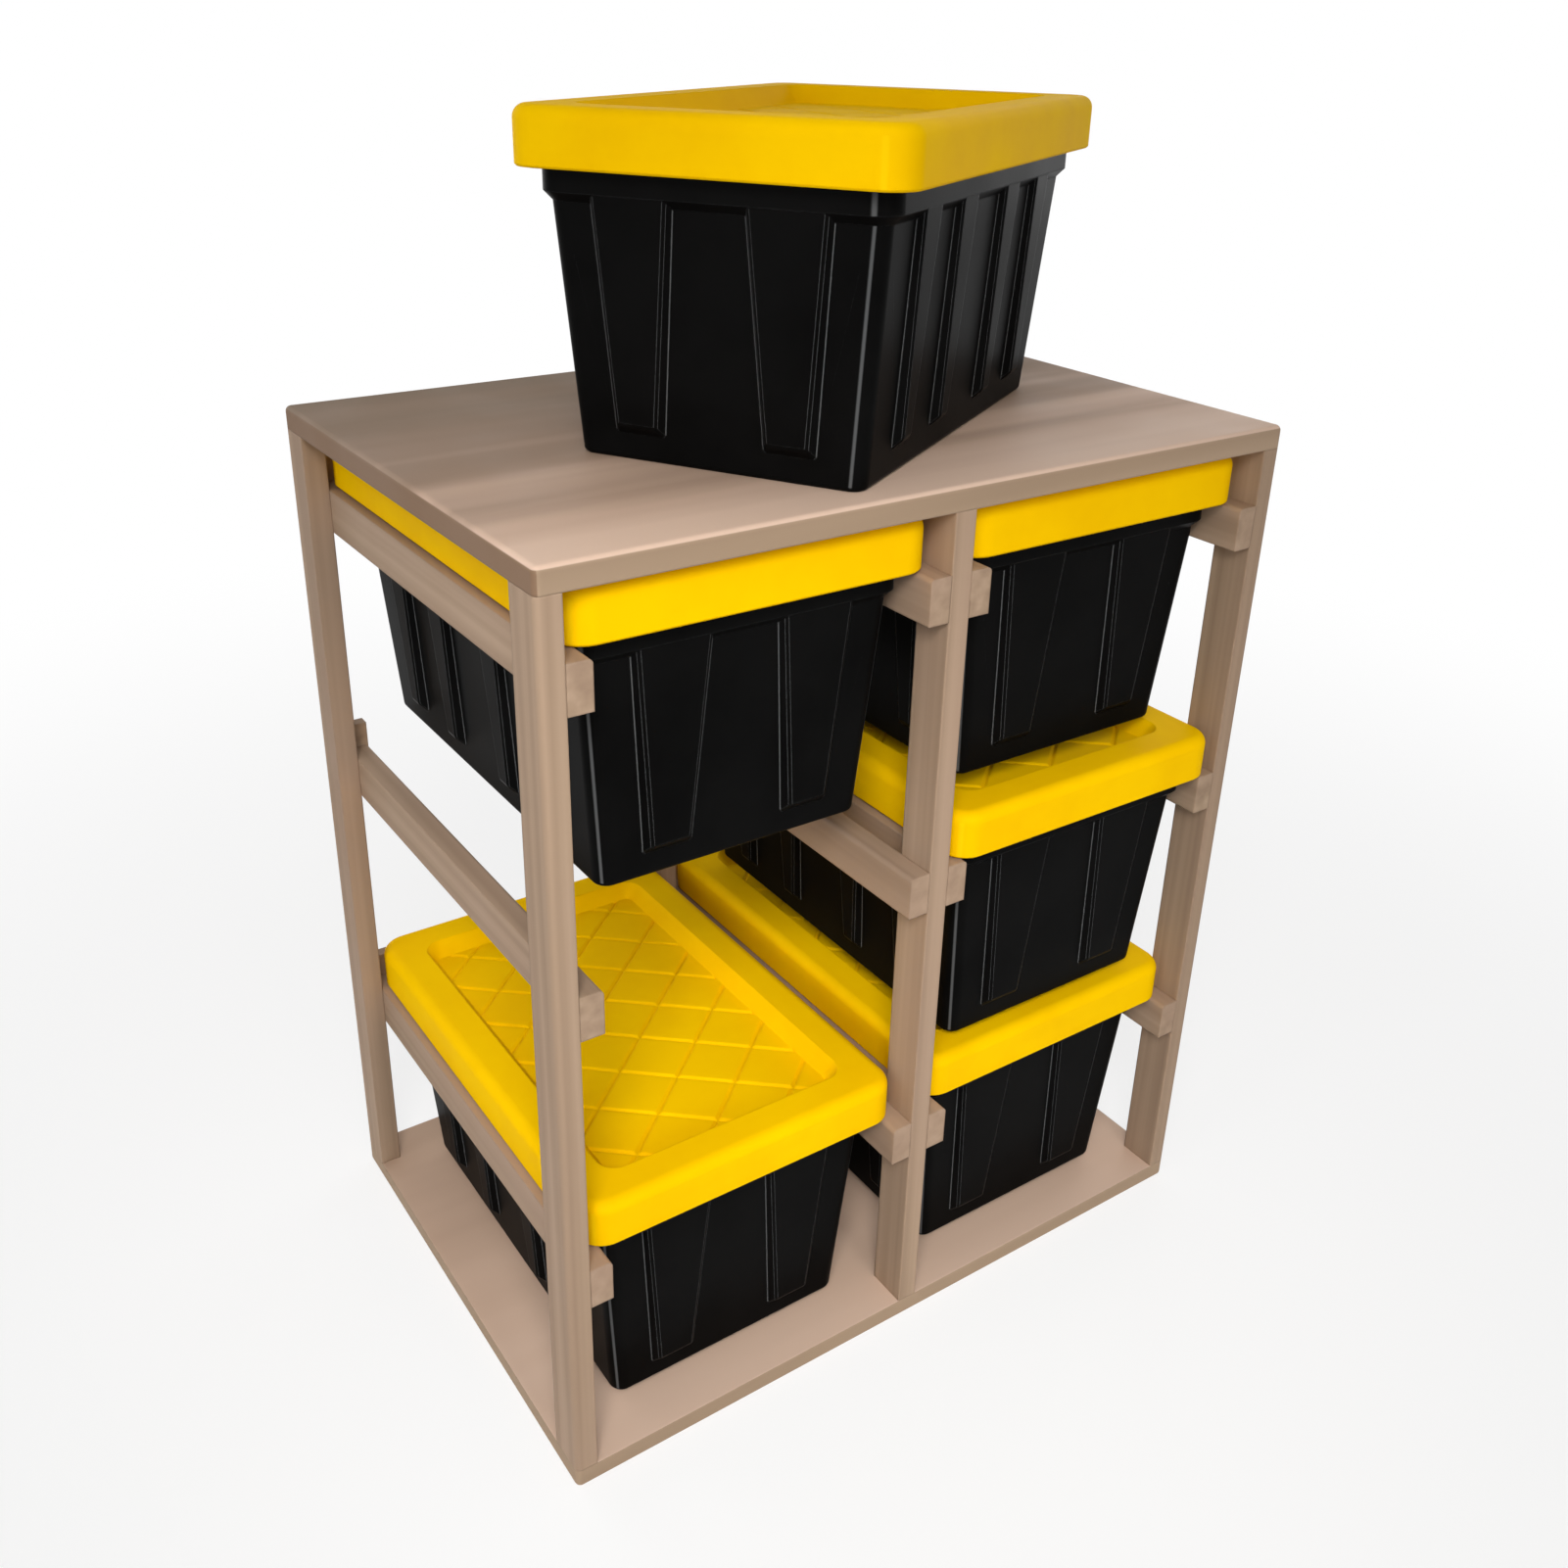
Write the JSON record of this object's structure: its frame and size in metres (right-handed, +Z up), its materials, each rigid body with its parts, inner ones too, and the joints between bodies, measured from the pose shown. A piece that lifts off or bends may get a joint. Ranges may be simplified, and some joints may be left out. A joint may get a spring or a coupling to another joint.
{
  "type": "modular organizer",
  "caption": "Open desktop rack whose front-to-back rails carry lidded, ribbed totes by their rims, so each slides out; one more tote stands on its top panel.",
  "frame": {"origin": "middle of the bottom panel's underside, on the surface that the rack stands on", "axes": "+X to the right seen from the front, +Y to the back, +Z up"},
  "size_m": [0.1854, 0.1319, 0.2822],
  "materials": {
    "rack": "matte, tan wood-toned print",
    "bin": "satin black print",
    "lid": "satin yellow print"
  },
  "bodies": {
    "rack": {"bottom_panel": "rack", "top_panel": "rack", "post_front_left": "rack", "post_front_centre": "rack", "post_front_right": "rack", "post_rear_left": "rack", "post_rear_centre": "rack", "post_rear_right": "rack", "rail_low_left_outer": "rack", "rail_low_left_inner": "rack", "rail_low_right_outer": "rack", "rail_low_right_inner": "rack", "rail_mid_left_outer": "rack", "rail_mid_left_inner": "rack", "rail_mid_right_outer": "rack", "rail_mid_right_inner": "rack", "rail_top_left_outer": "rack", "rail_top_left_inner": "rack", "rail_top_right_outer": "rack", "rail_top_right_inner": "rack"},
    "tote_top_left": {"bin_top_left": "bin", "lid_top_left": "lid"},
    "tote_top_right": {"bin_top_right": "bin", "lid_top_right": "lid"},
    "tote_mid_right": {"bin_mid_right": "bin", "lid_mid_right": "lid"},
    "tote_low_left": {"bin_low_left": "bin"},
    "tote_low_right": {"bin_low_right": "bin", "lid_low_right": "lid"},
    "lid_low_left": {"lid_low_left": "lid"},
    "tote_loose": {"bin_loose": "bin"},
    "lid_loose": {"lid_loose": "lid"}
  },
  "joints": [
    {"name": "top_left_tote_slide", "type": "slide", "parent": "rack", "child": "tote_top_left", "axis": [0, -1, 0], "range_m": [0, 0.13]},
    {"name": "top_right_tote_slide", "type": "slide", "parent": "rack", "child": "tote_top_right", "axis": [0, -1, 0], "range_m": [0, 0.13]},
    {"name": "mid_right_tote_slide", "type": "slide", "parent": "rack", "child": "tote_mid_right", "axis": [0, -1, 0], "range_m": [-0.0044, 0.1256]},
    {"name": "low_left_tote_slide", "type": "slide", "parent": "rack", "child": "tote_low_left", "axis": [0, -1, 0], "range_m": [0, 0.13]},
    {"name": "low_right_tote_slide", "type": "slide", "parent": "rack", "child": "tote_low_right", "axis": [0, -1, 0], "range_m": [0, 0.13]},
    {"name": "low_left_lid_lift", "type": "slide", "parent": "tote_low_left", "child": "lid_low_left", "axis": [0, 0, 1], "range_m": [0, 0.046]},
    {"name": "loose_tote_lift", "type": "slide", "parent": "rack", "child": "tote_loose", "axis": [0, 0, 1], "range_m": [0, 0.15]},
    {"name": "loose_lid_lift", "type": "slide", "parent": "tote_loose", "child": "lid_loose", "axis": [0, 0, 1], "range_m": [0, 0.05]}
  ]
}
